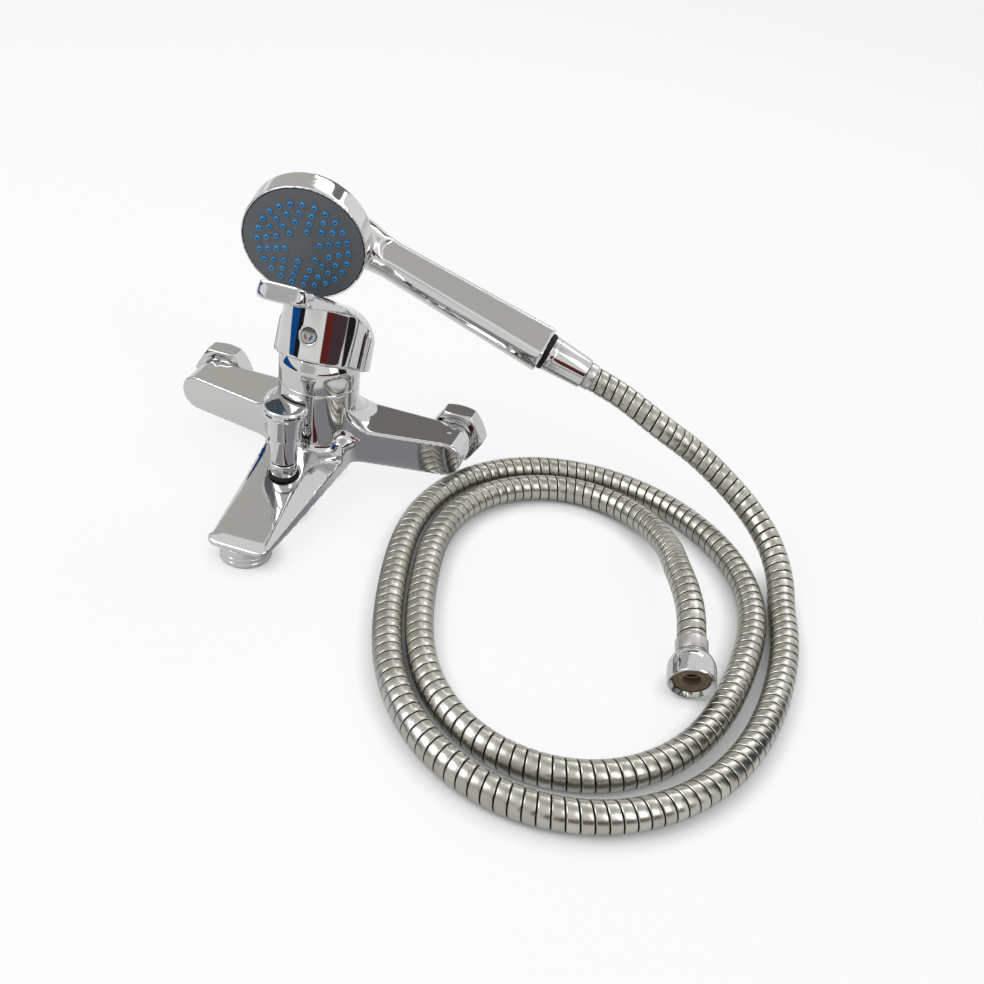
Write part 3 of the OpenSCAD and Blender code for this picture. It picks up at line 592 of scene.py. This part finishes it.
handsetRing = {"profile": [(8.5, 0), (10.8, 0, 0.5), (10.8, 2.5, 0.5), (8.5, 2.5)],
               "place": handleAt(handset["handleLength"])}
coneNut = {"profile": [(8.5, 0), (10.6, 0, 0.6), (10.4, 3, 0.2), (10.1, 3.3), (10.32, 3.7, 0.2),
                       (8.9, handset["coneLength"], 0.9), (6.85, handset["coneLength"]), (6.85, 8.7), (8.5, 8.7)],
           "place": handleAt(handset["coneStart"])}
coneFerrule = {"profile": [(5.3, 0), (8.2, 0), (8.2, 1.7), (6.8, 1.7), (6.8, 18.1), (7.9, 18.1, 0.4), (7.9, 22.8, 0.6),
                           (5.3, 22.8)],
               "place": handleAt(handset["coneStart"] + handset["ferruleStart"])}
endNut = {"profile": [(9.3, 2), (11.1, 0.3, 0.2), (11.5, 0, 0.2), (12, 0.8, 0.5), (12, 8.5), (11.75, 10.5), (11.2, 12.2),
                      (10.3, 14), (9.2, 15.6), (8.2, 16.8, 0.3), (7.65, 17), (7.65, 9.2), (9.6, 9.2), (9.6, 5), (9.3, 5)],
          "place": hoseEndAt(0)}
endFerrule = {"profile": [(6.5, 9.4), (7.6, 9.4), (7.6, 17.3), (8.2, 17.3, 0.3), (8.2, 25, 0.6), (6.5, 25)],
              "place": hoseEndAt(0)}
endInsert = {"profile": [(4, 7, 0.3), (9, 7, 0.2), (9, 9), (6.2, 9), (6.2, 25), (4, 25)], "place": hoseEndAt(0)}
endWasher = {"profile": [(4.6, 2.6, 0.3), (6.6, 2.6), (6.8, 2.8), (7, 2.6), (9.15, 2.6, 0.3), (9.15, 7), (4.6, 7)],
             "place": hoseEndAt(0)}

turned = [
    ("dressCap", dressCap, "bodyChrome", "body_chrome", "dress_cap"),
    ("diverterKnob", diverterKnob, "knobChrome", "knob_chrome", "diverter_knob"),
    ("diverterBush", diverterBush, "knobChrome", "knob_chrome", "diverter_bush"),
    ("diverterSeal", diverterSeal, "sealBlack", "seal_black", "diverter_seal"),
    ("aeratorHousing", aeratorHousing, "bodyChrome", "body_chrome", "aerator_housing"),
    ("facePlate", facePlate, "faceGrey", "face_grey", "face_plate"),
    ("handsetRing", handsetRing, "sealBlack", "seal_black", "handset_ring"),
    ("coneNut", coneNut, "nutChrome", "nut_chrome", "cone_nut"),
    ("coneFerrule", coneFerrule, "steel", "steel", "cone_ferrule"),
    ("endNut", endNut, "nutChrome", "nut_chrome", "end_nut"),
    ("endFerrule", endFerrule, "steel", "steel", "end_ferrule"),
    ("endInsert", endInsert, "brass", "brass", "end_insert"),
    ("endWasher", endWasher, "endFibre", "end_fibre", "end_washer"),
]
for name, s, finish, slot, node in turned:
    body = frame["nodes"][node]["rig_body"]
    addPiece(name, turnedMesh(name, s["profile"], s["place"]), body, finish, slot, [node])
print("turned pieces:", len(turned))


# the blue nozzles stand in four rings on their mat
nozzles = {"pitch": 5, "rings": 4, "first": 6, "turn": 33, "radius": 1.6, "rise": 1.0, "hole": 0.55}


def nozzleMesh(s):
    whole = bmesh.new()
    for k in range(s["rings"]):
        out = s["pitch"] * (k + 2)
        top = faceDome(out) + s["rise"]
        r, hole = s["radius"], s["hole"]
        profile = [(0, top - 1.2), (hole, top - 1.1), (hole + 0.1, top - 0.1), (r - 0.45, top), (r - 0.08, top - 0.35),
                   (r, top - 0.9), (r + 0.1, top - 2.4)]
        count = s["first"] * (k + 1)
        for i in range(count):
            turn = math.radians(i * 360 / count + s["turn"])
            place = headAt() @ Matrix.Rotation(turn, 4, "Z") @ Matrix.Translation((out, 0, 0))
            whole.from_mesh(turnedMesh("nozzle", profile, place, 14, False))
    whole.from_mesh(turnedMesh("mat", [(0, -4.4), (27.6, -4.4), (27.6, -3), (0, -3)], headAt(), 64))
    return meshOf(whole, "nozzleMat")


addPiece("nozzleMat", nozzleMesh(nozzles), "shower_set", "nozzleBlue", "nozzle_blue", ["nozzle_mat"])
print("nozzles done")


# finishes of the solids that stay
stays = {
    "knobChrome": ["inlet_tail_left", "inlet_tail_right"],
    "brass": ["cartridge_nut", "lever_spindle", "diverter_stem", "outlet_nipple"],
    "steel": ["pivot_pin", "grub_screw"],
    "cartridgePlastic": ["cartridge_housing", "cartridge_base", "swivel_carrier", "aerator_insert", "water_guide"],
    "discCeramic": ["fixed_disc", "moving_disc"],
    "sealBlack": ["inlet_washer_left", "inlet_washer_right", "cartridge_seal", "diverter_valve", "aerator_washer",
                  "handset_washer"],
    "indicator": ["indicator_plug"],
}
for finish, nodes in stays.items():
    for node in nodes:
        mesh = frame["nodes"][node].data
        mesh.materials.clear()
        mesh.materials.append(finishes[finish])

route[0] * mm
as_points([p * mm for p in route[::4]] + [route[-1] * mm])


# studio: pale floor, soft lamps, white surroundings and soft-edged cards that only the chrome sees
studio = {"floorTone": 0.82, "floorLift": 0.84, "floorInMetal": 0.6, "floorSide": 12, "floorDrop": 0.0003,
          "gapReach": 0.01, "gapDepth": 1.6, "ambient": 0.38,
          "lamps": [((-0.75, -0.55, 1.15), (0.9, 0.9), 11.0), ((1.1, -0.55, 0.9), (0.5, 0.9), 4.0),
                    ((0.2, 1.1, 1.0), (1.2, 0.4), 4.5)]}
# each card: heading and height in degrees seen from the mixer, distance, width and height in metres, tone and
# the share of it that its soft edge takes
cards = {"backDark": (-2, 31, 1.3, (0.84, 0.5), (0.23, 0.22, 0.205), 0.06),
         "backGrey": (-52, 33, 1.4, (1.5, 1.4), (0.60, 0.595, 0.56), 0.06),
         "overhead": (90, 74, 1.2, (0.8, 0.9), (0.60, 0.595, 0.575), 0.2),
         "front": (-168, 22, 1.1, (1.1, 0.7), (0.60, 0.60, 0.60), 0.3),
         "blackLeft": (-115, 0, 0.95, (0.98, 0.34), (0.015, 0.015, 0.018), 0.03),
         "blue": (-109, 0, 0.9, (0.66, 0.34), (0.008, 0.085, 0.33), 0.08),
         "plum": (133, 3, 0.86, (0.92, 0.38), (0.075, 0.045, 0.055), 0.06),
         "red": (151, 3, 0.8, (0.34, 0.36), (0.15, 0.026, 0.023), 0.16),
         "blackRight": (93, -2, 0.42, (0.2, 0.42), (0.02, 0.02, 0.022), 0.15)}
floorShade = {"place": (0.066, -0.075, 0.0002), "size": (0.15, 0.16), "tone": (0.31, 0.31, 0.335), "edge": 0.3}
aim = Vector((0.0, -0.015, 0.09))


def facing(place):
    return Matrix.Translation(place) @ (aim - Vector(place)).to_track_quat("-Z", "Y").to_matrix().to_4x4()


def plainPlane(name, matrix, width, depth):
    bm = bmesh.new()
    bm.loops.layers.uv.new("UVMap")
    bmesh.ops.create_grid(bm, x_segments=1, y_segments=1, size=0.5, calc_uvs=True)
    bmesh.ops.transform(bm, matrix=matrix @ Matrix.Diagonal((width, depth, 1, 1)), verts=bm.verts)
    plane = bpy.data.objects.new(name, meshOf(bm, name))
    scene.collection.objects.link(plane)
    return plane


def seenRays(add, inMetal):
    path = {k: add("ShaderNodeLightPath", {}, {}, k) for k in ("Is Camera Ray", "Is Glossy Ray", "Is Transmission Ray")}
    total = path["Is Camera Ray"] + path["Is Glossy Ray"] * inMetal + path["Is Transmission Ray"]
    return total.atMost(1.0)


def softCard(name, matrix, size, tone, edge):
    f = Finish(name)
    uv = f.add("ShaderNodeUVMap", {"uv_map": "UVMap"}, {}, "UV")
    fade = 1.0
    for way in ("X", "Y"):
        off = f.split(way, uv) - 0.5
        fade = fade * (1 - f.step(abs(off), 0.5 - edge, 0.5))
    clear = f.add("ShaderNodeBsdfTransparent", {}, {})
    shade = f.add("ShaderNodeEmission", {}, {"Color": colour(*tone), "Strength": 1.0})
    card = plainPlane(name, matrix, *size)
    card.data.materials.append(f.surface(f.add("ShaderNodeMixShader", {}, {0: fade, 1: clear, 2: shade})))
    card.visible_camera = card.visible_diffuse = card.visible_shadow = card.visible_transmission = False


def layFloor(s):
    f = Finish("paleFloor", Roughness=0.9, **{"Base Color": colour(*[s["floorTone"]] * 3)})
    glow = f.add("ShaderNodeEmission", {}, {"Color": colour(1, 1, 1), "Strength": 1.0})
    clearing = f.add("ShaderNodeAmbientOcclusion", {"samples": 8}, {"Distance": s["gapReach"]}, "AO")
    white = seenRays(f.add, s["floorInMetal"]) * s["floorLift"] * clearing ** s["gapDepth"]
    floor = plainPlane("floor", Matrix.Translation((0, 0, -s["floorDrop"])), s["floorSide"], s["floorSide"])
    lit = Wire(f, f.shader.outputs[0])
    floor.data.materials.append(f.surface(f.add("ShaderNodeMixShader", {}, {0: white, 1: lit, 2: glow})))


def lightSky(s):
    world = bpy.data.worlds.new("studio")
    world.use_nodes = True
    scene.world = world
    w = Nodes(world.node_tree)
    sky = w.tree.nodes["Background"]
    sky.inputs["Color"].default_value = colour(1, 1, 1)
    w.plug(seenRays(w.add, 1.0) * (1 - s["ambient"]) + s["ambient"], sky.inputs["Strength"])


def hangLamps(s):
    for i, (place, size, power) in enumerate(s["lamps"]):
        lamp = bpy.data.lights.new(f"lamp{i}", "AREA")
        lamp.shape = "RECTANGLE"
        lamp.size, lamp.size_y = size
        lamp.energy = power
        holder = bpy.data.objects.new(f"lamp{i}", lamp)
        holder.matrix_world = facing(place)
        scene.collection.objects.link(holder)


def hangCards():
    for name, (heading, height, far, size, tone, edge) in cards.items():
        a, e = math.radians(heading), math.radians(height)
        place = aim + far * Vector((math.sin(a) * math.cos(e), math.cos(a) * math.cos(e), math.sin(e)))
        softCard(name + "Card", facing(place), size, tone, edge)
    s = floorShade
    softCard("floorShadeCard", Matrix.Translation(s["place"]), s["size"], s["tone"], s["edge"])


layFloor(studio)
lightSky(studio)
hangLamps(studio)
hangCards()
print("studio lit:", len(cards), "cards")
